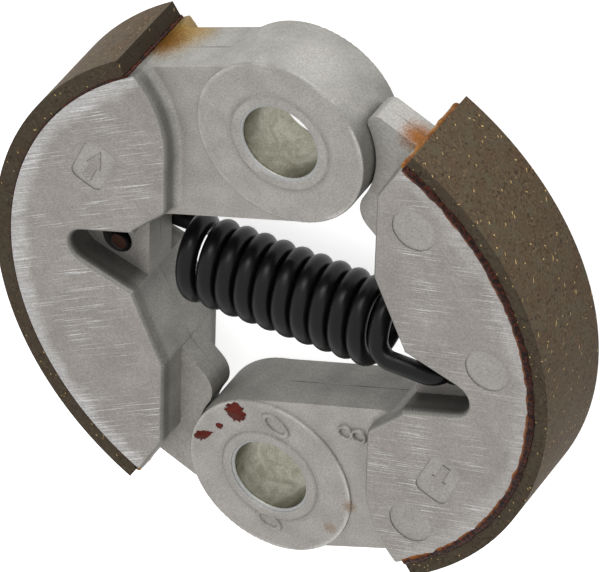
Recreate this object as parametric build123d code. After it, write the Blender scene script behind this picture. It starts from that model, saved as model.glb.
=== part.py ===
from build123d import *
import os
from math import acos, asin, atan2, cos, degrees, hypot, isclose, pi, radians, sin, sqrt

# Two-shoe centrifugal clutch, lying on its back with the clutch axis along +Z.
# The origin is on the axis, on the plane that the backs of the shoes share.
# All lengths are millimetres and all angles are degrees.
# Shoe a is on the -X side with its pivot on +Y. Shoe b is shoe a turned half a turn about Z.

# Friction lining and its bond, at rest
LINING_RADIUS = 38.3
LINING_THICKNESS = 2.2
LINING_SETBACK = 0.2
LINING_HEEL_ANGLE = 123.8
LINING_TOE_ANGLE = 240.7
BOND_THICKNESS = 0.2

# Thick curved pad of the shoe, which carries the lining
PAD_DEPTH = 14.0
PAD_HEEL_ANGLE = 121.3
PAD_TOE_ANGLE = 241.5
PAD_INNER_X = -14.2
PAD_EDGE_ROUND = 0.7
HEEL_CURVE_BELOW_PIVOT = 6.9
LIP_SHARE = 0.229
LIP_CORNER_ROUND = 1.5
WAIST_X = -18.7
WAIST_TOP_Y = 6.4
WAIST_BOTTOM_Y = -3.5
TOE_WALL_TOP_RISE = 13.2
TOE_WALL_BOTTOM_RISE = 0.7
PAD_CORNER_ROUND = 1.2

# Pivot boss and the arm that joins it to the pad
PIVOT_RADIUS = 26.5
BORE_DIAMETER = 10.0
BORE_EDGE_ROUND = 0.4
BOSS_RADIUS = 11.4
BOSS_THICKNESS = 9.6
BOSS_EDGE_ROUND = 0.25
ARM_THICKNESS = 9.0
ARM_MEETS_BOSS_ANGLE = 133.5
STEP_FILLET = 1.0
ROOT_OVERLAP = 1.0
ROOT_SETBACK = 0.25

# Toe, a thin tongue that nests round the other shoe's boss, placed from that boss's pivot
TOE_THICKNESS = 4.5
TOE_GAP = 0.3
TOE_ROOT = (-13.9, 12.7)
TOE_SHOULDER_ANGLE = -42.0
TOE_NUB_ROUND = 3.5
TOE_FOOT_TURN = 0.5
TOE_TIP_ANGLE = 211.3
TOE_TIP_WIDTH = 2.0
TOE_TIP_ROUND = 0.95

# Spring slot, sunk in both faces of the pad down to a web with a hook hole
WEB_THICKNESS = 5.6
SLOT_END_RADIUS = 2.4
SLOT_END_CENTRE = (-25.3, 1.2)
SLOT_UPPER_ANGLE = 19.0
SLOT_LOWER_ANGLE = -17.0
SLOT_MOUTH_REACH = 12.0
HOOK_HOLE_DIAMETER = 4.1
HOOK_REACH = 23.2
HOOK_RISE = 0.7

# Casting marks sunk in the front of the pad
MARK_DEPTH = 0.15
ARROW_PANEL_CENTRE = (-24.3, 14.6)
ARROW_PANEL_SIZE = (4.6, 6.7)
ARROW_PANEL_ROUND = 1.2
ARROW_PANEL_ANGLE = -22.0
EJECTOR_RADIUS = 2.9
EJECTOR_CENTRES = [(-20.8, 23.0), (-30.0, -5.4), (-19.4, -22.7)]

# Tension spring between the two hook holes
WIRE_DIAMETER = 2.55
COIL_MEAN_RADIUS = 4.35
COIL_PITCH = 2.68
WHOLE_TURNS = 10
COIL_BEND_RADIUS = 2.4
HOOK_BEND_RADIUS = 2.0
HOOK_GAP = 0.3
HOOK_STICK_OUT = 0.6

# Sizes that follow from the ones above
MID_Z = PAD_DEPTH / 2
LINING_WIDTH = PAD_DEPTH - 2 * LINING_SETBACK
BOND_RADIUS = LINING_RADIUS - LINING_THICKNESS
SHOE_RADIUS = BOND_RADIUS - BOND_THICKNESS
PIVOT = Vector(0, PIVOT_RADIUS)
OTHER_PIVOT = Vector(0, -PIVOT_RADIUS)
LIP_CORNER = Vector(PAD_INNER_X, WAIST_TOP_Y + LIP_SHARE * (PIVOT_RADIUS - WAIST_TOP_Y))
TOE_KNEE = OTHER_PIVOT + Vector(PAD_INNER_X, TOE_WALL_BOTTOM_RISE)
HOOK_HOLE = Vector(-HOOK_REACH, HOOK_RISE)
TOLERANCE = 0.001


def along(angle):
    """Unit vector in the plane at an angle from +X."""
    return Vector(cos(radians(angle)), sin(radians(angle)))


def slab(face, thickness):
    """A flat outline given its thickness, half to each side of the shoe's mid-plane."""
    return extrude(face, thickness / 2, both=True)


def on_lining_arc(edge):
    """Whether an edge follows the arc that carries the lining."""
    middle = edge @ 0.5
    return isclose(hypot(middle.X, middle.Y), SHOE_RADIUS)


def on_wire(wire, edge):
    """Whether an edge, seen from the front, lies on an outline drawn in the mid-plane."""
    middle = edge @ 0.5
    return wire.distance_to(Vector(middle.X, middle.Y)) < TOLERANCE


def round_corners(face, corners, radius):
    """Round the corners of an outline that lie nearest to the given points."""
    picked = [face.vertices().sort_by_distance(corner)[0] for corner in corners]
    return fillet(picked, radius)


def arc_band(inner, outer):
    """The ring sector of the lining's length between two radii."""
    sweep_angle = LINING_TOE_ANGLE - LINING_HEEL_ANGLE
    outside = CenterArc((0, 0), outer, LINING_HEEL_ANGLE, sweep_angle)
    inside = CenterArc((0, 0), inner, LINING_HEEL_ANGLE, sweep_angle)
    ends = [Line(outside @ 0, inside @ 0), Line(outside @ 1, inside @ 1)]
    return slab(make_face([outside, inside] + ends), LINING_WIDTH)


def pad_outline():
    """Pad seen from the front: lining arc outside, waist and toe wall inside."""
    outside = CenterArc((0, 0), SHOE_RADIUS, PAD_HEEL_ANGLE, PAD_TOE_ANGLE - PAD_HEEL_ANGLE)
    toe_bend = OTHER_PIVOT + Vector(PAD_INNER_X, TOE_WALL_TOP_RISE)
    waist_bottom = Vector(WAIST_X, WAIST_BOTTOM_Y)
    waist_top = Vector(WAIST_X, WAIST_TOP_Y)
    curve_start = Vector(PAD_INNER_X, PIVOT_RADIUS - HEEL_CURVE_BELOW_PIVOT)
    inside = Polyline(outside @ 1, TOE_KNEE, toe_bend, waist_bottom, waist_top, LIP_CORNER, curve_start)
    heel_curve = TangentArc(curve_start, outside @ 0, tangent=(0, 1))
    face = make_face([outside, inside, heel_curve])
    face = round_corners(face, [LIP_CORNER], LIP_CORNER_ROUND)
    return round_corners(face, [TOE_KNEE, toe_bend, waist_bottom], PAD_CORNER_ROUND)


def slot_outline():
    """Spring slot: a round closed end that widens to its mouth at the waist."""
    centre = Vector(*SLOT_END_CENTRE)
    upper = centre + along(SLOT_UPPER_ANGLE + 90) * SLOT_END_RADIUS
    lower = centre + along(SLOT_LOWER_ANGLE - 90) * SLOT_END_RADIUS
    upper_end = upper + along(SLOT_UPPER_ANGLE) * SLOT_MOUTH_REACH
    lower_end = lower + along(SLOT_LOWER_ANGLE) * SLOT_MOUTH_REACH
    closed_end = ThreePointArc(upper, centre - Vector(SLOT_END_RADIUS, 0), lower)
    return make_face([closed_end, Polyline(lower, lower_end, upper_end, upper)])


def boss_touch(point):
    """Where a straight edge from a point touches the underside of the boss circle."""
    away = PIVOT - point
    tilt = degrees(asin(BOSS_RADIUS / away.length))
    heading = degrees(atan2(away.Y, away.X)) - tilt
    return point + along(heading) * sqrt(away.length ** 2 - BOSS_RADIUS ** 2)


def arm_outline():
    """Arm: an edge from the pad's heel into the boss, and one from its lip that is tangent to it."""
    heel = along(PAD_HEEL_ANGLE) * (SHOE_RADIUS - ROOT_SETBACK)
    boss_end = PIVOT + along(ARM_MEETS_BOSS_ANGLE) * BOSS_RADIUS
    lip_middle = (LIP_CORNER + Vector(WAIST_X, WAIST_TOP_Y)) / 2
    lower_touch = boss_touch(lip_middle)
    lip_root = lip_middle - (lower_touch - lip_middle).normalized() * ROOT_OVERLAP
    return make_face(Polyline(heel, boss_end, PIVOT, lower_touch, lip_root, close=True))


def toe_outline():
    """Toe: a tongue cut back round the other shoe's boss, with a rounded nub and a blunt tip."""
    root = OTHER_PIVOT + Vector(*TOE_ROOT)
    nest_radius = BOSS_RADIUS + TOE_GAP
    shoulder = root + along(TOE_SHOULDER_ANGLE) * nest_radius
    tip_inside = OTHER_PIVOT + along(TOE_TIP_ANGLE) * nest_radius
    tip_outside = OTHER_PIVOT + along(TOE_TIP_ANGLE) * (nest_radius + TOE_TIP_WIDTH)
    foot = along(PAD_TOE_ANGLE - TOE_FOOT_TURN) * (SHOE_RADIUS - ROOT_SETBACK)
    inside_pad = TOE_KNEE - Vector(ROOT_OVERLAP, 0)
    root_in_pad = root - along(TOE_SHOULDER_ANGLE) * ROOT_OVERLAP
    rim = Polyline(root_in_pad, shoulder, OTHER_PIVOT, tip_outside, foot, inside_pad, close=True)
    face = make_face(rim) - Pos(OTHER_PIVOT) * Circle(nest_radius)
    nub = face.vertices().sort_by(Axis.X)[-1]
    face = fillet(nub, TOE_NUB_ROUND)
    return round_corners(face, [tip_inside, tip_outside], TOE_TIP_ROUND)


def pad_solid():
    """Pad with its two slots and with its inner front and back edges rounded."""
    pad = slab(pad_outline(), PAD_DEPTH)
    slot_depth = (PAD_DEPTH - WEB_THICKNESS) / 2
    slot = extrude(slot_outline(), slot_depth)
    pad -= [Pos(0, 0, WEB_THICKNESS / 2) * slot, Pos(0, 0, -PAD_DEPTH / 2) * slot]
    inner_edges = [edge for edge in both_faces(pad, PAD_DEPTH) if not on_lining_arc(edge)]
    return fillet(inner_edges, PAD_EDGE_ROUND)


def marks(with_ejectors):
    """Shallow panel for the turning mark, and ejector discs where the shoe has them."""
    panel = RectangleRounded(*ARROW_PANEL_SIZE, ARROW_PANEL_ROUND)
    sunk = [Pos(*ARROW_PANEL_CENTRE) * Rot(0, 0, ARROW_PANEL_ANGLE) * panel]
    if with_ejectors:
        sunk += [Pos(*centre) * Circle(EJECTOR_RADIUS) for centre in EJECTOR_CENTRES]
    top = Pos(0, 0, PAD_DEPTH / 2)
    return [top * extrude(face, -MARK_DEPTH) for face in sunk]


def both_faces(shape, thickness):
    """Edges of a shape that lie in the front and back planes of a given thickness."""
    levels = [thickness / 2, -thickness / 2]
    return [edge for level in levels for edge in shape.edges().filter_by_position(Axis.Z, level, level)]


def pad_with_arm():
    """Pad and arm in one, with a fillet where the arm's flats meet the pad's walls."""
    outline = arm_outline()
    body = pad_solid() + slab(outline, ARM_THICKNESS)
    rim = outline.face().outer_wire()
    corners = [edge for edge in both_faces(body, ARM_THICKNESS) if not on_wire(rim, edge)]
    return fillet(corners, STEP_FILLET)


def shoe(with_ejectors):
    """One die-cast shoe about its own mid-plane: pad, arm, boss and toe in one piece."""
    boss = slab(Pos(PIVOT) * Circle(BOSS_RADIUS), BOSS_THICKNESS)
    boss = fillet(boss.edges().filter_by(GeomType.CIRCLE), BOSS_EDGE_ROUND)
    body = pad_with_arm() + boss + slab(toe_outline(), TOE_THICKNESS)
    body -= slab(Pos(PIVOT) * Circle(BORE_DIAMETER / 2), PAD_DEPTH)
    face_circles = [edge for edge in both_faces(body, BOSS_THICKNESS) if edge.geom_type == GeomType.CIRCLE]
    bore_rims = [edge for edge in face_circles if isclose(edge.radius, BORE_DIAMETER / 2)]
    body = fillet(bore_rims, BORE_EDGE_ROUND)
    body -= slab(Pos(HOOK_HOLE) * Circle(HOOK_HOLE_DIAMETER / 2), PAD_DEPTH)
    return body - marks(with_ejectors)


def coil_end(angle, x, outward):
    """Where the coil ends, the way its wire leaves there, and where the bend turns it along X."""
    rise = atan2(COIL_PITCH, 2 * pi * COIL_MEAN_RADIUS)
    around = Vector(0, -sin(angle), cos(angle)) * outward
    end = Vector(x, COIL_MEAN_RADIUS * cos(angle), COIL_MEAN_RADIUS * sin(angle))
    axial = Vector(outward, 0, 0)
    leaving = axial * sin(rise) + around * cos(rise)
    bent = end + axial * COIL_BEND_RADIUS * cos(rise) + around * COIL_BEND_RADIUS * (1 - sin(rise))
    return end, leaving, bent


def leg(bent, outward):
    """Straight leg along X and the hook that turns through the web of one shoe."""
    tip_z = -outward * (WEB_THICKNESS / 2 + HOOK_STICK_OUT)
    slack = (HOOK_HOLE_DIAMETER - WIRE_DIAMETER) / 2 - HOOK_GAP
    hook_x = outward * (HOOK_REACH - slack)
    corner = Vector(hook_x, bent.Y, bent.Z)
    return FilletPolyline(bent, corner, Vector(hook_x, bent.Y, tip_z), radius=HOOK_BEND_RADIUS)


def spring():
    """Close-wound spring whose back leg hooks up into shoe a and front leg down into shoe b."""
    rise = atan2(COIL_PITCH, 2 * pi * COIL_MEAN_RADIUS)
    swing = COIL_BEND_RADIUS * (1 - sin(rise))
    reach = hypot(COIL_MEAN_RADIUS, swing)
    lead = atan2(swing, COIL_MEAN_RADIUS)
    first_angle = lead - acos(HOOK_RISE / reach)
    last_angle = acos(-HOOK_RISE / reach) - lead
    turns = WHOLE_TURNS + (last_angle - first_angle) / (2 * pi)
    length = turns * COIL_PITCH
    start, start_way, start_bent = coil_end(first_angle, -length / 2, -1)
    stop, stop_way, stop_bent = coil_end(last_angle, length / 2, 1)
    seat = Plane(origin=(-length / 2, 0, 0), x_dir=(0, start.Y, start.Z), z_dir=(1, 0, 0))
    coil = seat.location * Helix(COIL_PITCH, length, COIL_MEAN_RADIUS)
    start_bend = TangentArc(start, start_bent, tangent=start_way)
    stop_bend = TangentArc(stop, stop_bent, tangent=stop_way)
    pieces = [leg(start_bent, -1), start_bend, coil, stop_bend, leg(stop_bent, 1)]
    path = Wire([edge for piece in pieces for edge in piece.edges()])
    tip = path.position_at(0)
    section = Plane(tip, z_dir=path.tangent_at(0)) * Circle(WIRE_DIAMETER / 2)
    wire_area = pi * WIRE_DIAMETER ** 2 / 4
    body = sweep(section, path)
    print("spring wire length", round(path.length, 1), "volume by length", round(wire_area * path.length, 1))
    return body


def write(node, solid):
    """Store one node of the clutch."""
    export_step(solid, os.path.join("parts", node + ".step"))
    print(node, "volume", round(solid.volume, 1))


os.makedirs("parts", exist_ok=True)
lift = Pos(0, 0, MID_Z)
lining = arc_band(BOND_RADIUS, LINING_RADIUS)
bond = arc_band(SHOE_RADIUS, BOND_RADIUS)
for side, turn in (("a", Rot(0, 0, 0)), ("b", Rot(0, 0, 180))):
    write("shoe_" + side, lift * turn * shoe(with_ejectors=side == "b"))
    write("bond_layer_" + side, lift * turn * bond)
    write("lining_" + side, lift * turn * lining)
write("tension_spring", lift * spring())
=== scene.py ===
# %% [markdown]
# # A two-shoe centrifugal clutch
# The clutch sits on the flywheel of a small garden engine. Two cast shoes hang on shoulder bolts
# through their bores. As the engine speeds up they swing outwards, and their bonded linings grip
# the drum. One black spring pulls them back. The CAD model gives every rigid shape, so this lesson
# adds what CAD leaves out: finishes, the wound spring, glue, paint, floor, light and camera.

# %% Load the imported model
from math import acos, atan2, cos, hypot, pi, radians, sin, tau

import bmesh
import bpy
from mathutils import Matrix, Vector, noise


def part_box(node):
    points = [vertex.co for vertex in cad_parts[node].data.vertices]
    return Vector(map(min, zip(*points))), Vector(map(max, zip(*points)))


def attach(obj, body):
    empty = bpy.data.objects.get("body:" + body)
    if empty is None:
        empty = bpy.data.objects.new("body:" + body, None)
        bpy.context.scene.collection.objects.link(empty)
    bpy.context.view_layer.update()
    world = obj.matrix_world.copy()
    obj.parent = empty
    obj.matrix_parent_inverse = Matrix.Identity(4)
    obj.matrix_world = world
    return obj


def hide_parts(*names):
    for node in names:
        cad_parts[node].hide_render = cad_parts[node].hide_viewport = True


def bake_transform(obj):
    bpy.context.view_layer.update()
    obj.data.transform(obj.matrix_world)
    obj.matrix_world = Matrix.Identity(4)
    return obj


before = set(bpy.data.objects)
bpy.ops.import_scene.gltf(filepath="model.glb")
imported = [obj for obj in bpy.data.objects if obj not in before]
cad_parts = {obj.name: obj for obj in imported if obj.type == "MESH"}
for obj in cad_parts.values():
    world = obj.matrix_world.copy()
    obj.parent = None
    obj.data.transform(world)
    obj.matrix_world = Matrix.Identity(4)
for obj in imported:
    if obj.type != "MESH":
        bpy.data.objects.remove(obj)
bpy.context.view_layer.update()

print("CAD nodes:", ", ".join(sorted(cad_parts)))

# %% [markdown]
# ## Measure before modelling
# A new piece must sit on the CAD solids, so the first step reads a few sizes from them. Blender
# works in metres, but a clutch is easier to think about in millimetres. Every piece is therefore
# drawn in millimetres, and one helper shrinks it at the end.

# %% Sizes read from the CAD nodes
MM = 0.001
PAD_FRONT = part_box("shoe_a")[1].z / MM
MID_Z = PAD_FRONT / 2
LINING_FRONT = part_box("lining_a")[1].z / MM
LINING_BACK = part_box("lining_a")[0].z / MM
LINING_RADIUS = -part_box("lining_a")[0].x / MM
BOND_RADIUS = -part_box("bond_layer_a")[0].x / MM
print("pad front at", round(PAD_FRONT, 2), "mm, lining radius", round(LINING_RADIUS, 2), "mm")

# %% [markdown]
# ## Two small helpers for materials
# Colours are easiest to pick as sRGB hex values, but Blender mixes light in linear values. One
# function converts them. A second one adds a shader node, sets it and links it, so that a material
# reads as a list of steps.

# %% Colour and node helpers
def colour(code):
    """Linear colour, with alpha, of an sRGB hex value such as '#8f8d88'."""
    parts = [int(code[i:i + 2], 16) / 255 for i in (1, 3, 5)]
    return [c / 12.92 if c <= 0.04045 else ((c + 0.055) / 1.055) ** 2.4 for c in parts] + [1.0]


def add(tree, kind, inputs, **settings):
    """Add a shader node: settings are its own choices, inputs are values or sockets to link."""
    made = tree.nodes.new("ShaderNode" + kind)
    for name, value in settings.items():
        setattr(made, name, value)
    for key, value in inputs.items():
        if isinstance(value, bpy.types.NodeSocket):
            tree.links.new(value, made.inputs[key])
        else:
            made.inputs[key].default_value = value
    return made


def start_material(name):
    """A new material: its node tree, its shader, and the place on the piece in millimetres."""
    material = bpy.data.materials.new(name)
    material.use_nodes = True
    tree = material.node_tree
    shader = tree.nodes["Principled BSDF"]
    place = add(tree, "TexCoord", {}).outputs["Object"]
    in_mm = add(tree, "VectorMath", {0: place, "Scale": 1 / MM}, operation="SCALE")
    return material, tree, shader, in_mm.outputs[0]


print("helpers ready; mid grey is", [round(c, 3) for c in colour("#808080")[:3]])

# %% [markdown]
# ## Die-cast aluminium
# The shoes are pressure die-castings. Flats and walls as they left the die are a dull grey with a
# fine grain, and a thin seam runs round the walls at mid-depth where the die halves met. The pad
# faces were rubbed on a belt, so they carry long straight scratches, and beside the lining the belt
# cut deeper and left a bright band. Handling has stained and worn single places. Shade is painted
# onto the walls just below the pads' edges, into the spring slots and round the foot of each bore
# collar, and a few lighter patches are painted highlights on lit walls. All of this follows the place
# on the casting: the surface's own direction tells flat from wall, the height finds the rubbed faces,
# and the distance from an axis finds the band, the bore and the boss rim.

# %% Stains and painted highlight patches that several finishes share
def stain_and_highlight_patch(tree, base, place, uneven, centre, reach, code):
    """Mix a patch into a colour, used for stains and for painted highlights: full at its centre, ragged at its rim, and
    gone at its reach.
    """
    far = add(tree, "VectorMath", {0: place, 1: centre}, operation="DISTANCE").outputs["Value"]
    far = add(tree, "Math", {0: uneven, 1: reach, 2: far}, operation="MULTIPLY_ADD").outputs[0]
    amount = add(tree, "MapRange", {"Value": far, 1: 1.35 * reach, 2: 0.65 * reach},
                 interpolation_type="SMOOTHSTEP").outputs[0]
    return add(tree, "Mix", {0: amount, 6: base, 7: colour(code)}, data_type="RGBA").outputs[2]


# %% Die-cast aluminium for a shoe
GRAIN_SIZE = 0.24
MOTTLE_SIZE = 4.0
SCRATCH_LENGTH = 7.0
SCRATCH_WIDTH = 0.15
PATCH_SIZE = 6.0
BAND_START, BAND_END = BOND_RADIUS - 2.9, BOND_RADIUS - 1.1
SEAM_WIDTH = 0.14
PIVOT_Y = 26.5
BORE_RADIUS = 5.0
FILM_SIZE = 2.6
COLLAR_RADIUS = 6.5
BOSS_RADIUS = 11.4
SLOT_START, SLOT_END, SLOT_HALF_WIDTH = 18.5, 28.5, 7.0
STEP_SHADE_START = 4.9


def die_cast_aluminium(name, scratch_angle, band_share, pivot, stains_and_highlights):
    """Cast aluminium: rubbed pads, an oiled bore, a worn boss rim, stained spots, painted highlights and painted shade.
    """
    material, tree, shader, place = start_material(name)
    height = add(tree, "SeparateXYZ", {0: place}).outputs["Z"]
    facing = add(tree, "TexCoord", {}).outputs["Normal"]
    facing = add(tree, "SeparateXYZ", {0: facing}).outputs["Z"]
    facing = add(tree, "Math", {0: facing}, operation="ABSOLUTE").outputs[0]
    flat = add(tree, "MapRange", {"Value": facing, 1: 0.75, 2: 0.95}).outputs[0]
    from_middle = add(tree, "Math", {0: height, 1: MID_Z}, operation="SUBTRACT").outputs[0]
    from_middle = add(tree, "Math", {0: from_middle}, operation="ABSOLUTE").outputs[0]
    rubbed = add(tree, "MapRange", {"Value": from_middle, 1: MID_Z - 0.08, 2: MID_Z - 0.02}).outputs[0]

    grain = add(tree, "TexNoise", {"Vector": place, "Scale": 1 / GRAIN_SIZE, "Detail": 3.0}).outputs[0]
    mottle = add(tree, "TexNoise", {"Vector": place, "Scale": 1 / MOTTLE_SIZE, "Detail": 5.0}).outputs[0]
    uneven = add(tree, "MapRange", {"Value": mottle, 1: 0.3, 2: 0.7}).outputs[0]
    walls = add(tree, "Mix", {0: uneven, 6: colour("#8b8a85"), 7: colour("#a19f99")}, data_type="RGBA").outputs[2]
    flats = add(tree, "Mix", {0: uneven, 6: colour("#9e9a95"), 7: colour("#afaba6")}, data_type="RGBA").outputs[2]
    pads = add(tree, "Mix", {0: uneven, 6: colour("#938e89"), 7: colour("#a09b96")}, data_type="RGBA").outputs[2]
    base = add(tree, "Mix", {0: flat, 6: walls, 7: flats}, data_type="RGBA").outputs[2]
    base = add(tree, "Mix", {0: rubbed, 6: base, 7: pads}, data_type="RGBA").outputs[2]

    along = add(tree, "Mapping", {"Vector": place, "Rotation": (0, 0, scratch_angle)}, vector_type="TEXTURE")
    stretched = add(tree, "VectorMath", {0: along.outputs[0], 1: (1 / SCRATCH_LENGTH, 1 / SCRATCH_WIDTH, 0)},
                    operation="MULTIPLY").outputs[0]
    lines = add(tree, "TexNoise", {"Vector": stretched, "Scale": 1.0, "Detail": 2.0}).outputs[0]
    patches = add(tree, "TexNoise", {"Vector": place, "Scale": 1 / PATCH_SIZE, "Detail": 2.0}).outputs[0]
    patch = add(tree, "MapRange", {"Value": patches, 1: 0.42, 2: 0.62}).outputs[0]
    flat_place = add(tree, "VectorMath", {0: place, 1: (1, 1, 0)}, operation="MULTIPLY").outputs[0]
    radius = add(tree, "VectorMath", {0: flat_place}, operation="LENGTH").outputs["Value"]
    ragged = add(tree, "Math", {0: mottle, 1: 3.0, 2: radius}, operation="MULTIPLY_ADD").outputs[0]
    band = add(tree, "MapRange", {"Value": ragged, 1: BAND_START + 1.5, 2: BAND_END + 1.5, 4: band_share},
               interpolation_type="SMOOTHSTEP").outputs[0]
    streaks = add(tree, "MapRange", {"Value": lines, 1: 0.38, 2: 0.58, 3: 0.3, 4: 1.0}).outputs[0]
    scored = add(tree, "MapRange", {"Value": lines, 1: 0.57, 2: 0.70}).outputs[0]
    scored = add(tree, "Math", {0: scored, 1: patch}, operation="MULTIPLY").outputs[0]
    bright = add(tree, "Math", {0: band, 1: streaks, 2: scored}, operation="MULTIPLY_ADD").outputs[0]
    bright = add(tree, "Math", {0: bright, 1: rubbed}, operation="MULTIPLY", use_clamp=True).outputs[0]
    base = add(tree, "Mix", {0: bright, 6: base, 7: colour("#d6d6d6")}, data_type="RGBA").outputs[2]

    from_pivot = add(tree, "VectorMath", {0: flat_place, 1: pivot}, operation="DISTANCE").outputs["Value"]
    bore = add(tree, "MapRange", {"Value": from_pivot, 1: BORE_RADIUS + 0.08, 2: BORE_RADIUS + 0.02}).outputs[0]
    ring = add(tree, "MapRange", {"Value": from_pivot, 1: BORE_RADIUS + 0.7, 2: BORE_RADIUS + 0.3, 4: 0.6}).outputs[0]
    # Painted shade: a darker ring in the crease where the bore collar meets the boss.
    shoulder = add(tree, "MapRange", {"Value": from_pivot, 1: COLLAR_RADIUS + 0.9, 2: COLLAR_RADIUS}).outputs[0]
    collar = add(tree, "MapRange", {"Value": from_pivot, 1: COLLAR_RADIUS + 0.2, 2: COLLAR_RADIUS - 0.2},
                 interpolation_type="SMOOTHSTEP").outputs[0]
    painted_collar_foot_shade = add(tree, "Math", {0: shoulder, 1: collar}, operation="SUBTRACT").outputs[0]
    painted_collar_foot_shade = add(tree, "Math", {0: painted_collar_foot_shade, 1: uneven}, operation="MULTIPLY").outputs[0]
    base = add(tree, "Mix", {0: painted_collar_foot_shade, 6: base, 7: colour("#837e77")}, data_type="RGBA").outputs[2]
    base = add(tree, "Mix", {0: ring, 6: base, 7: colour("#b5b8b8")}, data_type="RGBA").outputs[2]
    film = add(tree, "TexNoise", {"Vector": place, "Scale": 1 / FILM_SIZE, "Detail": 5.0, "Distortion": 1.5}).outputs[0]
    film = add(tree, "MapRange", {"Value": film, 1: 0.35, 2: 0.65}).outputs[0]
    oiled = add(tree, "Mix", {0: film, 6: colour("#8b897a"), 7: colour("#a5a496")}, data_type="RGBA").outputs[2]
    base = add(tree, "Mix", {0: bore, 6: base, 7: oiled}, data_type="RGBA").outputs[2]
    rim = add(tree, "MapRange", {"Value": from_pivot, 1: BOSS_RADIUS - 0.7, 2: BOSS_RADIUS - 0.1}).outputs[0]
    past_rim = add(tree, "MapRange", {"Value": from_pivot, 1: BOSS_RADIUS + 0.1, 2: BOSS_RADIUS}).outputs[0]
    worn = add(tree, "Math", {0: rim, 1: past_rim}, operation="MULTIPLY").outputs[0]
    worn = add(tree, "Math", {0: worn, 1: patch}, operation="MULTIPLY").outputs[0]
    worn = add(tree, "Math", {0: worn, 1: flat}, operation="MULTIPLY").outputs[0]
    base = add(tree, "Mix", {0: worn, 6: base, 7: colour("#cfcdc8")}, data_type="RGBA").outputs[2]
    # Painted shade on the walls just below the pads' edges, where the pad step shades them.
    painted_step_shade = add(tree, "MapRange", {"Value": from_middle, 1: STEP_SHADE_START, 2: STEP_SHADE_START + 0.7, 4: 0.45}).outputs[0]
    painted_step_shade = add(tree, "Mix", {0: flat, 2: painted_step_shade, 3: 0.0}).outputs[0]
    base = add(tree, "Mix", {0: painted_step_shade, 6: base, 7: colour("#55534e")}, data_type="RGBA").outputs[2]
    # Painted shade in the spring slots: their walls and floor below the pad face are darkened where the slot's sides
    # shade them.
    across = add(tree, "SeparateXYZ", {0: place}).outputs
    near_slot = add(tree, "Math", {0: across["Y"]}, operation="ABSOLUTE").outputs[0]
    near_slot = add(tree, "MapRange", {"Value": near_slot, 1: SLOT_HALF_WIDTH + 0.5, 2: SLOT_HALF_WIDTH}).outputs[0]
    slot_inside = add(tree, "MapRange", {"Value": radius, 1: SLOT_START, 2: SLOT_START + 2.0}).outputs[0]
    slot_end = add(tree, "MapRange", {"Value": radius, 1: SLOT_END + 0.5, 2: SLOT_END}).outputs[0]
    below = add(tree, "MapRange", {"Value": from_middle, 1: MID_Z - 0.3, 2: MID_Z - 1.2}).outputs[0]
    painted_slot_shade = add(tree, "MapRange", {"Value": flat, 3: 0.75, 4: 0.4}).outputs[0]
    for mask in (near_slot, slot_inside, slot_end, below):
        painted_slot_shade = add(tree, "Math", {0: painted_slot_shade, 1: mask}, operation="MULTIPLY").outputs[0]
    base = add(tree, "Mix", {0: painted_slot_shade, 6: base, 7: colour("#3b3a37")}, data_type="RGBA").outputs[2]
    stipple = add(tree, "Mix", {0: 0.5, 2: mottle, 3: grain}).outputs[0]
    # Stains, and light patches that are painted highlights, from the table.
    for centre, reach, code in stains_and_highlights:
        base = stain_and_highlight_patch(tree, base, place, stipple, centre, reach, code)

    seam = add(tree, "MapRange", {"Value": from_middle, 1: SEAM_WIDTH, 2: 0.0}).outputs[0]
    beyond = add(tree, "MapRange", {"Value": from_pivot, 1: BOSS_RADIUS + 0.3, 2: BOSS_RADIUS + 1.2}).outputs[0]
    seam = add(tree, "Math", {0: seam, 1: beyond}, operation="MULTIPLY").outputs[0]
    broken = add(tree, "Math", {0: seam, 1: patch}, operation="MULTIPLY").outputs[0]
    base = add(tree, "Mix", {0: broken, 6: base, 7: colour("#4d4b45")}, data_type="RGBA").outputs[2]
    speckle = add(tree, "MapRange", {"Value": grain, 1: 0.3, 2: 0.7, 3: 0.82, 4: 1.18}).outputs[0]
    base = add(tree, "VectorMath", {0: base, "Scale": speckle}, operation="SCALE").outputs[0]
    tree.links.new(base, shader.inputs["Base Color"])

    relief = add(tree, "Math", {0: grain, 1: 0.5, 2: seam}, operation="MULTIPLY_ADD").outputs[0]
    grooves = add(tree, "Math", {0: lines, 1: 0.9}, operation="MULTIPLY").outputs[0]
    relief = add(tree, "Mix", {0: rubbed, 2: relief, 3: grooves}).outputs[0]
    bump = add(tree, "Bump", {"Height": relief, "Strength": 0.4, "Distance": 0.05 * MM})
    tree.links.new(bump.outputs[0], shader.inputs["Normal"])
    rough = add(tree, "MapRange", {"Value": rubbed, 3: 0.58, 4: 0.52}).outputs[0]
    rough = add(tree, "Mix", {0: bore, 2: rough, 3: 0.34}).outputs[0]
    tree.links.new(rough, shader.inputs["Roughness"])
    metal = add(tree, "MapRange", {"Value": bore, 3: 0.6, 4: 1.0}).outputs[0]
    tree.links.new(metal, shader.inputs["Metallic"])
    return material


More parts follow.
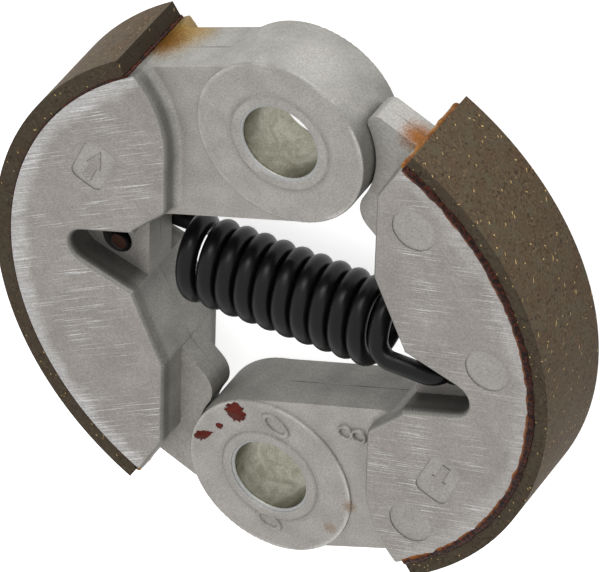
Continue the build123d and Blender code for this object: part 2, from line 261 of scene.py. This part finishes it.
# Each entry is a centre, a reach and a tone. The two light grey patches, on the side of shoe a's boss and on the toe of
# shoe b, are painted highlights; the browner ones are stains.
STAINS_AND_HIGHLIGHTS_A = [((-18.6, 31.0, 4.0), 8.0, "#987b3d"), ((-19.2, 30.7, 6.0), 5.5, "#714b0c"),
            ((2.8, 37.6, 8.5), 7.0, "#a5a39e")]
STAINS_AND_HIGHLIGHTS_B = [((13.4, 32.8, 6.5), 10.0, "#aba9a4"), ((16.9, 31.8, 8.0), 3.8, "#8f5a26"),
            ((11.3, -26.6, 11.8), 1.7, "#978878"), ((8.7, -31.2, 11.8), 1.4, "#998c7f")]
shoe_finish = {
    "a": die_cast_aluminium("die_cast_aluminium_a", radians(29), 0.6, (0, PIVOT_Y, 0), STAINS_AND_HIGHLIGHTS_A),
    "b": die_cast_aluminium("die_cast_aluminium_b", radians(15), 0.3, (0, -PIVOT_Y, 0), STAINS_AND_HIGHLIGHTS_B),
}
for side, material in shoe_finish.items():
    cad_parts["shoe_" + side].material_slots[0].material = material
    print("shoe", side, "wears", material.name, "with", len(material.node_tree.nodes), "nodes")

# %% [markdown]
# ## Moulded friction lining
# The linings are pressed from resin, fibre and metal chips. The eye sees a dull brown ground with
# darker specks and a scatter of small brass flecks that lie in all directions. A Voronoi pattern
# gives each chip a cell. The cell's random colour decides whether it holds a fleck, and stretching
# the cells in two directions keeps the flecks from lining up.

# %% Friction lining
LONG_FLECK = (1 / 1.3, 1 / 0.22, 1 / 0.22)
SHORT_FLECK = (1 / 0.6, 1 / 0.28, 1 / 0.28)
SPECK_SIZE = 0.9


def flecks(tree, place, turn, sized, share):
    """Mask of thin chips lying one way: a share of the cells of a stretched Voronoi pattern."""
    turned = add(tree, "Mapping", {"Vector": place, "Rotation": turn}).outputs[0]
    stretched = add(tree, "VectorMath", {0: turned, 1: sized}, operation="MULTIPLY").outputs[0]
    cells = add(tree, "TexVoronoi", {"Vector": stretched, "Scale": 1.0, "Randomness": 1.0})
    near = add(tree, "MapRange", {"Value": cells.outputs["Distance"], 1: 0.36, 2: 0.26}).outputs[0]
    dice = add(tree, "SeparateColor", {0: cells.outputs["Color"]}).outputs[0]
    chosen = add(tree, "Math", {0: dice, 1: 1 - share}, operation="GREATER_THAN").outputs[0]
    return add(tree, "Math", {0: near, 1: chosen}, operation="MULTIPLY").outputs[0]


material, tree, shader, place = start_material("moulded_friction_lining")
height = add(tree, "SeparateXYZ", {0: place}).outputs["Z"]
cloud = add(tree, "TexNoise", {"Vector": place, "Scale": 1 / 2.2, "Detail": 5.0, "Roughness": 0.65}).outputs[0]
cloud = add(tree, "MapRange", {"Value": cloud, 1: 0.35, 2: 0.65}).outputs[0]
dust = add(tree, "TexNoise", {"Vector": place, "Scale": 1 / 0.35, "Detail": 2.0}).outputs[0]
grit = add(tree, "MapRange", {"Value": dust, 1: 0.3, 2: 0.7}).outputs[0]
blotch = add(tree, "TexNoise", {"Vector": place, "Scale": 1 / 1.1, "Detail": 6.0, "Roughness": 0.7}).outputs[0]
blotch = add(tree, "MapRange", {"Value": blotch, 1: 0.38, 2: 0.6}).outputs[0]
ground = add(tree, "Mix", {0: cloud, 6: colour("#544030"), 7: colour("#585141")}, data_type="RGBA").outputs[2]
crumb = add(tree, "Mix", {0: grit, 6: colour("#2a2219"), 7: colour("#71604a")}, data_type="RGBA").outputs[2]
base = add(tree, "Mix", {0: blotch, 6: crumb, 7: ground}, data_type="RGBA").outputs[2]
# The end faces of the linings, which face neither outwards nor up, are made darker.
facing = add(tree, "TexCoord", {}).outputs["Normal"]
outward = add(tree, "VectorMath", {0: place, 1: (1, 1, 0)}, operation="MULTIPLY").outputs[0]
outward = add(tree, "VectorMath", {0: outward}, operation="NORMALIZE").outputs[0]
outward = add(tree, "VectorMath", {0: facing, 1: outward}, operation="DOT_PRODUCT").outputs["Value"]
outward = add(tree, "Math", {0: outward}, operation="ABSOLUTE").outputs[0]
upward = add(tree, "SeparateXYZ", {0: facing}).outputs["Z"]
upward = add(tree, "Math", {0: upward}, operation="ABSOLUTE").outputs[0]
not_end = add(tree, "Math", {0: outward, 1: upward}, operation="MAXIMUM").outputs[0]
darker_end_faces = add(tree, "MapRange", {"Value": not_end, 1: 0.6, 2: 0.3, 4: 0.75}).outputs[0]
base = add(tree, "Mix", {0: darker_end_faces, 6: base, 7: colour("#221d17")}, data_type="RGBA").outputs[2]
edge = add(tree, "MapRange", {"Value": height, 1: LINING_FRONT - 0.12, 2: LINING_FRONT - 0.02}).outputs[0]
edge = add(tree, "Math", {0: edge, 1: 0.45}, operation="MULTIPLY").outputs[0]
base = add(tree, "Mix", {0: edge, 6: base, 7: colour("#2f2a23")}, data_type="RGBA").outputs[2]
specks = add(tree, "TexVoronoi", {"Vector": place, "Scale": 1 / SPECK_SIZE})
size = add(tree, "SeparateColor", {0: specks.outputs["Color"]}).outputs[1]
size = add(tree, "Math", {0: size, 1: 0.32}, operation="MULTIPLY").outputs[0]
speck = add(tree, "Math", {0: size, 1: specks.outputs["Distance"]}, operation="SUBTRACT").outputs[0]
speck = add(tree, "MapRange", {"Value": speck, 1: 0.0, 2: 0.1, 4: 0.55}).outputs[0]
base = add(tree, "Mix", {0: speck, 6: base, 7: colour("#2b2620")}, data_type="RGBA").outputs[2]
brass = flecks(tree, place, (radians(30), radians(20), radians(70)), LONG_FLECK, 0.014)
for turn, sized, share in (((radians(-50), radians(65), radians(10)), LONG_FLECK, 0.014),
                           ((radians(80), radians(-35), radians(-30)), SHORT_FLECK, 0.02)):
    more = flecks(tree, place, turn, sized, share)
    brass = add(tree, "Math", {0: brass, 1: more}, operation="MAXIMUM").outputs[0]
base = add(tree, "Mix", {0: brass, 6: base, 7: colour("#c9ae74")}, data_type="RGBA").outputs[2]
tree.links.new(base, shader.inputs["Base Color"])
shine = add(tree, "Math", {0: brass, 1: 0.7}, operation="MULTIPLY").outputs[0]
tree.links.new(shine, shader.inputs["Metallic"])
bump = add(tree, "Bump", {"Height": dust, "Strength": 0.4, "Distance": 0.06 * MM})
tree.links.new(bump.outputs[0], shader.inputs["Normal"])
shader.inputs["Roughness"].default_value = 0.72
shader.inputs["Specular IOR Level"].default_value = 0.15
for side in "ab":
    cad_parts["lining_" + side].material_slots[0].material = material
print("lining ground, chars and flecks use", len(tree.nodes), "nodes")

# %% [markdown]
# ## Cured adhesive
# The linings are bonded with a heat-cured glue that squeezes out along the joint. Where it is thick
# it is almost black red-brown and glossy, and where it thins out on the pad it turns to amber. The
# distance from the axis, made ragged by noise, mixes the two, and a low roughness looks wet.

# %% Adhesive finish
LUMP_SIZE = 1.4
CRUMB_SIZE = 0.5


def cured_adhesive(name, dark, middle, light, thin_from):
    """Glossy glue that runs from a thick dark tone to a thin light one as it nears the pad."""
    material, tree, shader, place = start_material(name)
    lumps = add(tree, "TexNoise", {"Vector": place, "Scale": 1 / LUMP_SIZE, "Detail": 4.0}).outputs[0]
    flat_place = add(tree, "VectorMath", {0: place, 1: (1, 1, 0)}, operation="MULTIPLY").outputs[0]
    radius = add(tree, "VectorMath", {0: flat_place}, operation="LENGTH").outputs["Value"]
    depth = add(tree, "Math", {0: lumps, 1: 0.9, 2: radius}, operation="MULTIPLY_ADD").outputs[0]
    mixed = add(tree, "MapRange", {"Value": depth, 1: thin_from + 0.65, 2: thin_from + 0.2}).outputs[0]
    crumbs = add(tree, "TexNoise", {"Vector": place, "Scale": 1 / CRUMB_SIZE, "Detail": 3.0}).outputs[0]
    crumbs = add(tree, "MapRange", {"Value": crumbs, 1: 0.4, 2: 0.65}).outputs[0]
    thick = add(tree, "Mix", {0: crumbs, 6: colour(dark), 7: colour(middle)}, data_type="RGBA").outputs[2]
    base = add(tree, "Mix", {0: mixed, 6: thick, 7: colour(light)}, data_type="RGBA").outputs[2]
    tree.links.new(base, shader.inputs["Base Color"])
    bump = add(tree, "Bump", {"Height": crumbs, "Strength": 0.5, "Distance": 0.1 * MM})
    tree.links.new(bump.outputs[0], shader.inputs["Normal"])
    shader.inputs["Roughness"].default_value = 0.24
    shader.inputs["Specular IOR Level"].default_value = 0.16
    return material


dark_glue = cured_adhesive("cured_adhesive", "#120604", "#4b1e0d", "#98581c", BOND_RADIUS - 0.40)
amber_glue = cured_adhesive("amber_squeeze_out", "#6e3f10", "#96601f", "#ad7d3c", BOND_RADIUS + 0.1)
for side in "ab":
    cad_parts["bond_layer_" + side].material_slots[0].material = dark_glue
print("glue tones:", dark_glue.name, "and", amber_glue.name)

# %% [markdown]
# ## From a bmesh to a piece
# Every new piece is shaped in a bmesh. This helper closes the job: it makes the normals point
# outwards, shrinks millimetres to metres, and leaves the object itself at the origin with its place
# in its mesh, as the CAD nodes have it.

# %% Helper that turns a bmesh into a piece
def settle(mesh, name, materials):
    """Store a bmesh drawn in millimetres as a smooth object with its finish."""
    bmesh.ops.recalc_face_normals(mesh, faces=mesh.faces)
    bmesh.ops.scale(mesh, vec=(MM, MM, MM), verts=mesh.verts)
    for face in mesh.faces:
        face.smooth = True
    data = bpy.data.meshes.new(name)
    mesh.to_mesh(data)
    mesh.free()
    for material in materials:
        data.materials.append(material)
    piece = bpy.data.objects.new(name, data)
    bpy.context.scene.collection.objects.link(piece)
    print(name, "has", len(data.polygons), "faces")
    return piece


# %% [markdown]
# ## Black spring steel
# Spring wire is drawn, wound and then blackened and oiled. It is nearly black, with a soft sheen
# that shows faint drawing lines. The cut ends were made after blackening, so they have rusted brown.

# %% Spring finishes
def black_spring_steel(name, tone, sheen):
    """Blackened wire with a little unevenness in its tone and sheen."""
    material, tree, shader, place = start_material(name)
    uneven = add(tree, "TexNoise", {"Vector": place, "Scale": 1 / 1.8, "Detail": 5.0}).outputs[0]
    base = add(tree, "Mix", {0: uneven, 6: colour(tone), 7: colour(sheen)}, data_type="RGBA").outputs[2]
    tree.links.new(base, shader.inputs["Base Color"])
    rough = add(tree, "MapRange", {"Value": uneven, 1: 0.3, 2: 0.7, 3: 0.26, 4: 0.40}).outputs[0]
    tree.links.new(rough, shader.inputs["Roughness"])
    fine = add(tree, "TexNoise", {"Vector": place, "Scale": 1 / 0.25, "Detail": 2.0}).outputs[0]
    bump = add(tree, "Bump", {"Height": fine, "Strength": 0.12, "Distance": 0.03 * MM})
    tree.links.new(bump.outputs[0], shader.inputs["Normal"])
    shader.inputs["Specular IOR Level"].default_value = 0.24
    return material


spring_finish = [black_spring_steel("black_spring_steel", "#070708", "#111113"),
                 black_spring_steel("rusted_wire_end", "#26150f", "#43271c")]
print("spring finishes:", [material.name for material in spring_finish])

# %% [markdown]
# ## Winding the spring
# The spring bends when the shoes swing, so it can't be one rigid node. It is wound as two halves
# that meet at the middle of the coil. A ring is spun about the coil's axis with a step along it, which
# winds a helix. The last turn is wound more openly. A second spin makes the bend out of the coil, the
# straight leg is extruded, and a third spin makes the hook that goes through the shoe's web.

# %% Sizes of the spring
WIRE_RADIUS = 1.275
WIRE_SIDES = 24
STEPS_PER_TURN = 48
COIL_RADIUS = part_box("tension_spring")[1].y / MM - WIRE_RADIUS
HOOK_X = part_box("tension_spring")[1].x / MM - WIRE_RADIUS
WHOLE_TURNS = 10
CLOSE_PITCH, OPEN_PITCH = 2.6, 3.0
BEND_RADIUS = 2.4
HOOK_RADIUS = 2.0
LEG_Y = 0.7
TIP_Z = 3.4

rise = atan2(OPEN_PITCH, tau * COIL_RADIUS)
swing = BEND_RADIUS * (1 - sin(rise))
lead = atan2(swing, COIL_RADIUS)
first_angle = lead - acos(LEG_Y / hypot(COIL_RADIUS, swing))
last_angle = tau * WHOLE_TURNS + acos(-LEG_Y / hypot(COIL_RADIUS, swing)) - lead
middle_angle = (first_angle + last_angle) / 2
half_turns = (last_angle - first_angle) / 2 / tau
coil_end_x = (half_turns - 1) * CLOSE_PITCH + OPEN_PITCH
print("turns", round(2 * half_turns, 2), "coil length", round(2 * coil_end_x, 2), "mm")


# %% Wind one half
def wind(mesh, ring, turns, pitch, outward):
    """Spin a ring of wire about the X axis, stepping along it, and return the last ring."""
    steps = round(turns * STEPS_PER_TURN)
    step = (outward * pitch * turns / steps, 0, 0)
    return bmesh.ops.spin(mesh, geom=ring, cent=(0, 0, 0), axis=(1, 0, 0), dvec=step,
                          angle=outward * turns * tau, steps=steps)["geom_last"]


def run(mesh, ring, move):
    """Extrude a ring of wire straight on and return the new ring."""
    edges = [part for part in ring if isinstance(part, bmesh.types.BMEdge)]
    made = bmesh.ops.extrude_edge_only(mesh, edges=edges)["geom"]
    verts = [part for part in made if isinstance(part, bmesh.types.BMVert)]
    bmesh.ops.translate(mesh, vec=move, verts=verts)
    return verts + list({edge for vert in verts for edge in vert.link_edges if all(v in verts for v in edge.verts)})


def cap(mesh, ring):
    """Close a ring of wire with a face and keep its rim crisp."""
    edges = [part for part in ring if isinstance(part, bmesh.types.BMEdge)]
    for edge in edges:
        edge.smooth = False
    return bmesh.ops.edgeloop_fill(mesh, edges=edges)["faces"]


def spring_half(name, outward):
    """Half of the spring, from the middle of the coil to the tip of one hook."""
    mesh = bmesh.new()
    bmesh.ops.create_circle(mesh, segments=WIRE_SIDES, radius=WIRE_RADIUS)
    around = Vector((0, -sin(middle_angle), cos(middle_angle)))
    centre = Vector((0, cos(middle_angle), sin(middle_angle))) * COIL_RADIUS
    stand = (around * outward).to_track_quat("Z", "Y").to_matrix().to_4x4()
    bmesh.ops.transform(mesh, matrix=Matrix.Translation(centre) @ stand, verts=mesh.verts)
    first = mesh.verts[:] + mesh.edges[:]
    ring = wind(mesh, first, half_turns - 1, CLOSE_PITCH, outward)
    ring = wind(mesh, ring, 1, OPEN_PITCH, outward)

    end_angle = last_angle if outward > 0 else first_angle
    axial = Vector((outward, 0, 0))
    around = Vector((0, -sin(end_angle), cos(end_angle))) * outward
    end = Vector((outward * coil_end_x, COIL_RADIUS * cos(end_angle), COIL_RADIUS * sin(end_angle)))
    turn_centre = end + BEND_RADIUS * (axial * cos(rise) - around * sin(rise))
    ring = bmesh.ops.spin(mesh, geom=ring, cent=turn_centre, axis=around.cross(axial),
                          angle=pi / 2 - rise, steps=12)["geom_last"]
    bent = turn_centre + BEND_RADIUS * around

    ring = run(mesh, ring, axial * (HOOK_X - HOOK_RADIUS - abs(bent.x)))
    into_web = Vector((0, 0, -outward))
    hook_centre = Vector((outward * (HOOK_X - HOOK_RADIUS), bent.y, bent.z)) + HOOK_RADIUS * into_web
    ring = bmesh.ops.spin(mesh, geom=ring, cent=hook_centre, axis=axial.cross(into_web),
                          angle=pi / 2, steps=14)["geom_last"]
    ring = run(mesh, ring, into_web * (abs(bent.z) - HOOK_RADIUS + TIP_Z))
    tip = cap(mesh, ring)
    bmesh.ops.inset_region(mesh, faces=tip, thickness=0.2, depth=0.1)
    for face in tip:
        face.material_index = 1
    cap(mesh, first)
    bmesh.ops.translate(mesh, vec=(0, 0, MID_Z), verts=mesh.verts)
    return settle(mesh, name, spring_finish)


for side, outward in (("a", -1), ("b", 1)):
    half = spring_half("spring_half_" + side, outward)
    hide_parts("tension_spring")
    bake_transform(half)

# %% [markdown]
# ## Glue squeezed from the joints
# Along shoe b the glue stands out of the joint as an uneven bead, and at the ends of the linings it
# has run out in lumps. A bead is a ring spun along the joint, or a cylinder cut into short lengths.
# Noise then swells and thins it, always about its own centre line, so that it stays on the joint.

# %% Beads along the bond line
BEAD_SIDES = 10
JOINT_RADIUS = BOND_RADIUS - 0.1
LINING_HEEL, LINING_SWEEP = radians(123.8), radians(116.9)


def swell(mesh, centre_of, roughness, seed):
    """Swell and thin a bead about its centre line with noise."""
    for vert in mesh.verts:
        centre = centre_of(vert.co)
        lump = noise.noise(centre * 0.6 + Vector((seed, 0, 0))) + 0.6 * noise.noise(vert.co * 1.3)
        vert.co = centre + (vert.co - centre) * (1 + roughness * lump)


def front_bead(side, turn, width, rise, roughness):
    """Flat bead along the front of a bond line, spun about the clutch axis."""
    mesh = bmesh.new()
    ring = bmesh.ops.create_circle(mesh, segments=BEAD_SIDES, radius=1)["verts"]
    bmesh.ops.scale(mesh, vec=(width / 2, rise, 1), verts=ring)
    upright = Matrix.Rotation(pi / 2, 4, "X")
    at_heel = Matrix.Rotation(LINING_HEEL + turn, 4, "Z") @ Matrix.Translation((JOINT_RADIUS, 0, LINING_FRONT))
    bmesh.ops.transform(mesh, matrix=at_heel @ upright, verts=ring)
    first = mesh.edges[:]
    last = bmesh.ops.spin(mesh, geom=mesh.verts[:] + first, cent=(0, 0, 0), axis=(0, 0, 1),
                          angle=LINING_SWEEP, steps=300)["geom_last"]
    cap(mesh, first)
    cap(mesh, last)

    def centre_of(co):
        outward = Vector((co.x, co.y, 0)).normalized()
        return outward * JOINT_RADIUS + Vector((0, 0, LINING_FRONT))

    swell(mesh, centre_of, roughness, seed=turn)
    return settle(mesh, "front_bead_" + side, [dark_glue])


def end_bead(name, angle, radius, roughness, material):
    """Bead across the end of a bond line, a cylinder cut into short lengths."""
    mesh = bmesh.new()
    depth = LINING_FRONT - LINING_BACK
    bmesh.ops.create_cone(mesh, cap_ends=True, segments=BEAD_SIDES, radius1=radius, radius2=radius, depth=depth)
    long_edges = [edge for edge in mesh.edges if abs(edge.verts[0].co.z - edge.verts[1].co.z) > radius]
    bmesh.ops.subdivide_edges(mesh, edges=long_edges, cuts=60, use_grid_fill=True)
    centre = JOINT_RADIUS * Vector((cos(angle), sin(angle), 0)) + Vector((0, 0, (LINING_FRONT + LINING_BACK) / 2))
    bmesh.ops.translate(mesh, vec=centre, verts=mesh.verts)
    swell(mesh, lambda co: Vector((centre.x, centre.y, co.z)), roughness, seed=angle)
    return settle(mesh, name, [material])


for side, turn, width, rise, roughness in (("a", 0, 0.3, 0.12, 0.5), ("b", pi, 1.2, 0.3, 0.35)):
    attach(front_bead(side, turn, width, rise, roughness), "shoe_" + side)
    heel, toe = LINING_HEEL + turn, LINING_HEEL + LINING_SWEEP + turn
    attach(end_bead("heel_bead_" + side, heel, 0.3, 0.5, dark_glue), "shoe_" + side)
    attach(end_bead("toe_bead_" + side, toe, 0.5, 0.45, amber_glue), "shoe_" + side)

# %% [markdown]
# ## Turning mark
# Each shoe has a shallow panel with a raised arrow that shows which way the clutch turns. The panel
# is in the casting. The arrow needs seven corners, an extrusion and a small bevel.

# %% Raised arrows
ARROW_CENTRE = Vector((-24.3, 14.6, PAD_FRONT - 0.15))
ARROW_ANGLE = radians(68)
ARROW_LENGTH, ARROW_HEAD, ARROW_WIDTH, ARROW_SHAFT = 5.2, 2.7, 2.05, 1.1
ARROW_RISE = 0.13


def arrow(side, turn):
    """Flat arrow that points along +X, raised, softened and set in its panel."""
    mesh = bmesh.new()
    tail, neck, tip = -ARROW_LENGTH / 2, ARROW_LENGTH / 2 - ARROW_HEAD, ARROW_LENGTH / 2
    half = [(tail, ARROW_SHAFT / 2), (neck, ARROW_SHAFT / 2), (neck, ARROW_WIDTH / 2)]
    corners = half + [(tip, 0)] + [(x, -y) for x, y in reversed(half)]
    face = mesh.faces.new([mesh.verts.new((x, y, 0)) for x, y in corners])
    raised = bmesh.ops.extrude_face_region(mesh, geom=[face])["geom"]
    top = [part for part in raised if isinstance(part, bmesh.types.BMVert)]
    bmesh.ops.translate(mesh, vec=(0, 0, ARROW_RISE), verts=top)
    rim = [edge for edge in mesh.edges if all(vert in top for vert in edge.verts)]
    bmesh.ops.bevel(mesh, geom=rim, offset=0.06, affect="EDGES", segments=2, profile=0.5, material=-1)
    seat = Matrix.Rotation(turn, 4, "Z") @ Matrix.Translation(ARROW_CENTRE) @ Matrix.Rotation(ARROW_ANGLE, 4, "Z")
    bmesh.ops.transform(mesh, matrix=seat, verts=mesh.verts)
    return settle(mesh, "turning_arrow_" + side, [shoe_finish[side]])


for side, turn in (("a", 0), ("b", pi)):
    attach(arrow(side, turn), "shoe_" + side)

# %% [markdown]
# ## Cavity mark
# Shoe b also has small raised rings on its arm and boss, cast in to tell one die cavity from
# another. A ring is a small circle spun a full turn and merged, then stretched where it is oval, and
# sunk so that only its upper part shows.

# %% Raised rings
ARM_FRONT, BOSS_FRONT = MID_Z + 4.5, MID_Z + 4.8
RING_BEAD = 0.24
RINGS = {"arm_ring_1": ((10.2, -14.9, ARM_FRONT), 0.9, 1.0, 2.0, 0),
         "arm_ring_2": ((12.1, -14.7, ARM_FRONT), 0.9, 1.0, 2.0, 0),
         "boss_ring_1": ((0.6, -17.9, BOSS_FRONT), 1.05, 1.7, 1.3, -29),
         "boss_ring_2": ((0.05, -33.8, BOSS_FRONT), 0.95, 1.7, 1.1, -20)}


def cavity_ring(name, centre, radius, stretch, rise, angle):
    """Small round or oval ring that stands out of a face by half its thickness."""
    mesh = bmesh.new()
    bmesh.ops.create_circle(mesh, segments=12, radius=RING_BEAD)
    upright = Matrix.Translation((radius, 0, 0)) @ Matrix.Rotation(pi / 2, 4, "X")
    bmesh.ops.transform(mesh, matrix=upright, verts=mesh.verts)
    bmesh.ops.spin(mesh, geom=mesh.verts[:] + mesh.edges[:], cent=(0, 0, 0), axis=(0, 0, 1),
                   angle=tau, steps=36, use_merge=True)
    bmesh.ops.scale(mesh, vec=(stretch, 1, rise), verts=mesh.verts)
    seat = Matrix.Translation(centre) @ Matrix.Rotation(radians(angle), 4, "Z")
    bmesh.ops.transform(mesh, matrix=seat, verts=mesh.verts)
    return settle(mesh, name, [shoe_finish["b"]])


for name, shape in RINGS.items():
    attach(cavity_ring(name, *shape), "shoe_b")

# %% [markdown]
# ## Bore collars
# The casting rises a little round each bore, where the shoulder of the bolt bears. A short closed
# profile is spun a full turn about the bore and merged, with its foot sunk in the boss. The collar
# of shoe a is worn down to less than half.

# %% Raised collars
COLLAR_PROFILE = [(5.4, -0.1), (5.4, 0.08), (5.5, 0.16), (5.7, 0.2), (6.2, 0.2), (6.5, 0.15), (6.75, 0.04), (6.85, -0.1)]


def bore_collar(side, pivot_y, height):
    """Low ring with a rounded shoulder, round the front end of a bore, of full or worn height."""
    mesh = bmesh.new()
    corners = [mesh.verts.new((radius, 0, rise)) for radius, rise in COLLAR_PROFILE]
    for start, end in zip(corners, corners[1:] + corners[:1]):
        mesh.edges.new((start, end))
    bmesh.ops.spin(mesh, geom=mesh.verts[:] + mesh.edges[:], cent=(0, 0, 0), axis=(0, 0, 1),
                   angle=tau, steps=96, use_merge=True)
    bmesh.ops.scale(mesh, vec=(1, 1, height), verts=mesh.verts)
    bmesh.ops.translate(mesh, vec=(0, pivot_y, BOSS_FRONT), verts=mesh.verts)
    return settle(mesh, "bore_collar_" + side, [shoe_finish[side]])


for side, pivot_y, height in (("a", PIVOT_Y, 0.4), ("b", -PIVOT_Y, 1.0)):
    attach(bore_collar(side, pivot_y, height), "shoe_" + side)

# %% [markdown]
# ## Inspection paint
# Someone dabbed red paint on the boss of shoe b when it passed inspection. Paint thrown from a brush
# makes ragged islands, so each dab is a disc whose rim is pulled in and out by noise, raised by the
# thickness of a paint film.

# %% Red paint dabs
FILM = 0.05
DABS = {"paint_blob": ((-5.0, -18.1), 1.3, 1.15, 0.0, 40), "paint_dot": ((-7.25, -21.4), 0.42, 1.3, 0.2, 40),
        "paint_streak": ((-9.4, -23.8), 0.6, 2.5, 0.6, 37)}

material, tree, shader, place = start_material("red_inspection_paint")
worn = add(tree, "TexNoise", {"Vector": place, "Scale": 1 / 0.5, "Detail": 4.0}).outputs[0]
base = add(tree, "Mix", {0: worn, 6: colour("#420f09"), 7: colour("#6c2415")}, data_type="RGBA").outputs[2]
tree.links.new(base, shader.inputs["Base Color"])
shader.inputs["Roughness"].default_value = 0.6
shader.inputs["Specular IOR Level"].default_value = 0.2
red_paint = material


def dab(name, centre, radius, stretch, taper, angle):
    """Ragged island of paint on the boss face, which may thin out towards one end."""
    mesh = bmesh.new()
    bmesh.ops.create_circle(mesh, cap_ends=True, segments=90, radius=radius)
    for vert in mesh.verts:
        vert.co *= 1 + 0.3 * noise.noise(vert.co * 1.3 + Vector(centre).to_3d()) + 0.35 * noise.noise(vert.co * 5.3)
        vert.co.y *= 1 - taper * vert.co.x / radius
    bmesh.ops.scale(mesh, vec=(stretch, 1, 1), verts=mesh.verts)
    raised = bmesh.ops.extrude_face_region(mesh, geom=mesh.faces[:])["geom"]
    top = [part for part in raised if isinstance(part, bmesh.types.BMVert)]
    bmesh.ops.translate(mesh, vec=(0, 0, FILM), verts=top)
    seat = Matrix.Translation((*centre, BOSS_FRONT)) @ Matrix.Rotation(radians(angle), 4, "Z")
    bmesh.ops.transform(mesh, matrix=seat, verts=mesh.verts)
    return settle(mesh, name, [red_paint])


for name, shape in DABS.items():
    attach(dab(name, *shape), "shoe_b")

# %% [markdown]
# ## Floor and light
# The clutch lies on a plain white sheet. A large soft lamp stands where the photographer's stood,
# above the boss of shoe a. The floor and the sky show as white to the camera and to glossy surfaces,
# while a shadow still darkens the sheet.

# %% White floor and sky
def shown_white(tree):
    """1 for rays from the camera, from gloss and from glass, and 0 for the light that falls on things."""
    path = add(tree, "LightPath", {}).outputs
    gloss = add(tree, "Math", {0: path["Is Camera Ray"], 1: path["Is Glossy Ray"]}, operation="MAXIMUM")
    return add(tree, "Math", {0: gloss.outputs[0], 1: path["Is Transmission Ray"]}, operation="MAXIMUM").outputs[0]


sheet = bmesh.new()
bmesh.ops.create_grid(sheet, x_segments=1, y_segments=1, size=4.0)
data = bpy.data.meshes.new("white_floor")
sheet.to_mesh(data)
sheet.free()
floor = bpy.data.objects.new("white_floor", data)
bpy.context.scene.collection.objects.link(floor)
material = bpy.data.materials.new("white_sheet")
material.use_nodes = True
tree = material.node_tree
shader = tree.nodes["Principled BSDF"]
shader.inputs["Base Color"].default_value = colour("#e9e9e9")
shader.inputs["Roughness"].default_value = 0.9
shader.inputs["Emission Color"].default_value = colour("#ffffff")
glow = add(tree, "Math", {0: shown_white(tree), 1: 0.8}, operation="MULTIPLY")
tree.links.new(glow.outputs[0], shader.inputs["Emission Strength"])
data.materials.append(material)

world = bpy.data.worlds.new("studio")
bpy.context.scene.world = world
world.use_nodes = True
tree = world.node_tree
sky = tree.nodes["Background"]
level = add(tree, "MapRange", {"Value": shown_white(tree), 3: 0.78, 4: 1.0})
tree.links.new(level.outputs[0], sky.inputs["Strength"])
sky.inputs["Color"].default_value = colour("#ffffff")
print("floor and sky ready")

# %% Soft lamps
LAMPS = {"key_lamp": ((0.0, 0.95, 0.20), 0.55, (0.4, 0.3), 1.45)}
aim = Vector((0, 0, MID_Z * MM))
for name, (way, distance, size, power) in LAMPS.items():
    lamp = bpy.data.lights.new(name, "AREA")
    lamp.shape = "RECTANGLE"
    lamp.size, lamp.size_y = size
    lamp.energy = power
    stand = bpy.data.objects.new(name, lamp)
    stand.location = aim + Vector(way).normalized() * distance
    stand.rotation_euler = (aim - stand.location).to_track_quat("-Z", "Y").to_euler()
    bpy.context.scene.collection.objects.link(stand)
    print(name, "at", [round(v, 3) for v in stand.location], "with", power, "W")

# %% [markdown]
# ## Camera
# The photograph was taken with a long lens from the side of shoe a's boss, with the clutch standing
# on its edge, so the camera here is rolled about its line of sight. The image is 600 by 572 pixels.

# %% Camera
CAMERA_PLACE = Vector((296.6, 537.9, 573.1)) * MM
CAMERA_AIM = Vector((-0.35449, -0.64333, -0.67858))
CAMERA_ROLL = radians(-139.06)
FOCAL_PIXELS, IMAGE_WIDTH = 6842, 600

lens = bpy.data.cameras.new("camera")
lens.sensor_fit = "HORIZONTAL"
lens.lens = FOCAL_PIXELS / IMAGE_WIDTH * lens.sensor_width
lens.clip_start, lens.clip_end = 0.01, 20
camera = bpy.data.objects.new("camera", lens)
camera.location = CAMERA_PLACE
camera.rotation_mode = "QUATERNION"
camera.rotation_quaternion = (CAMERA_AIM.to_track_quat("-Z", "Y").to_matrix()
                              @ Matrix.Rotation(CAMERA_ROLL, 3, "Z")).to_quaternion()
bpy.context.scene.collection.objects.link(camera)
bpy.context.scene.camera = camera
bpy.context.scene.view_settings.view_transform = "Standard"
print("lens", round(lens.lens, 1), "mm at", round(CAMERA_PLACE.length, 3), "m")

# %% [markdown] The dressed clutch must keep the CAD model's size.
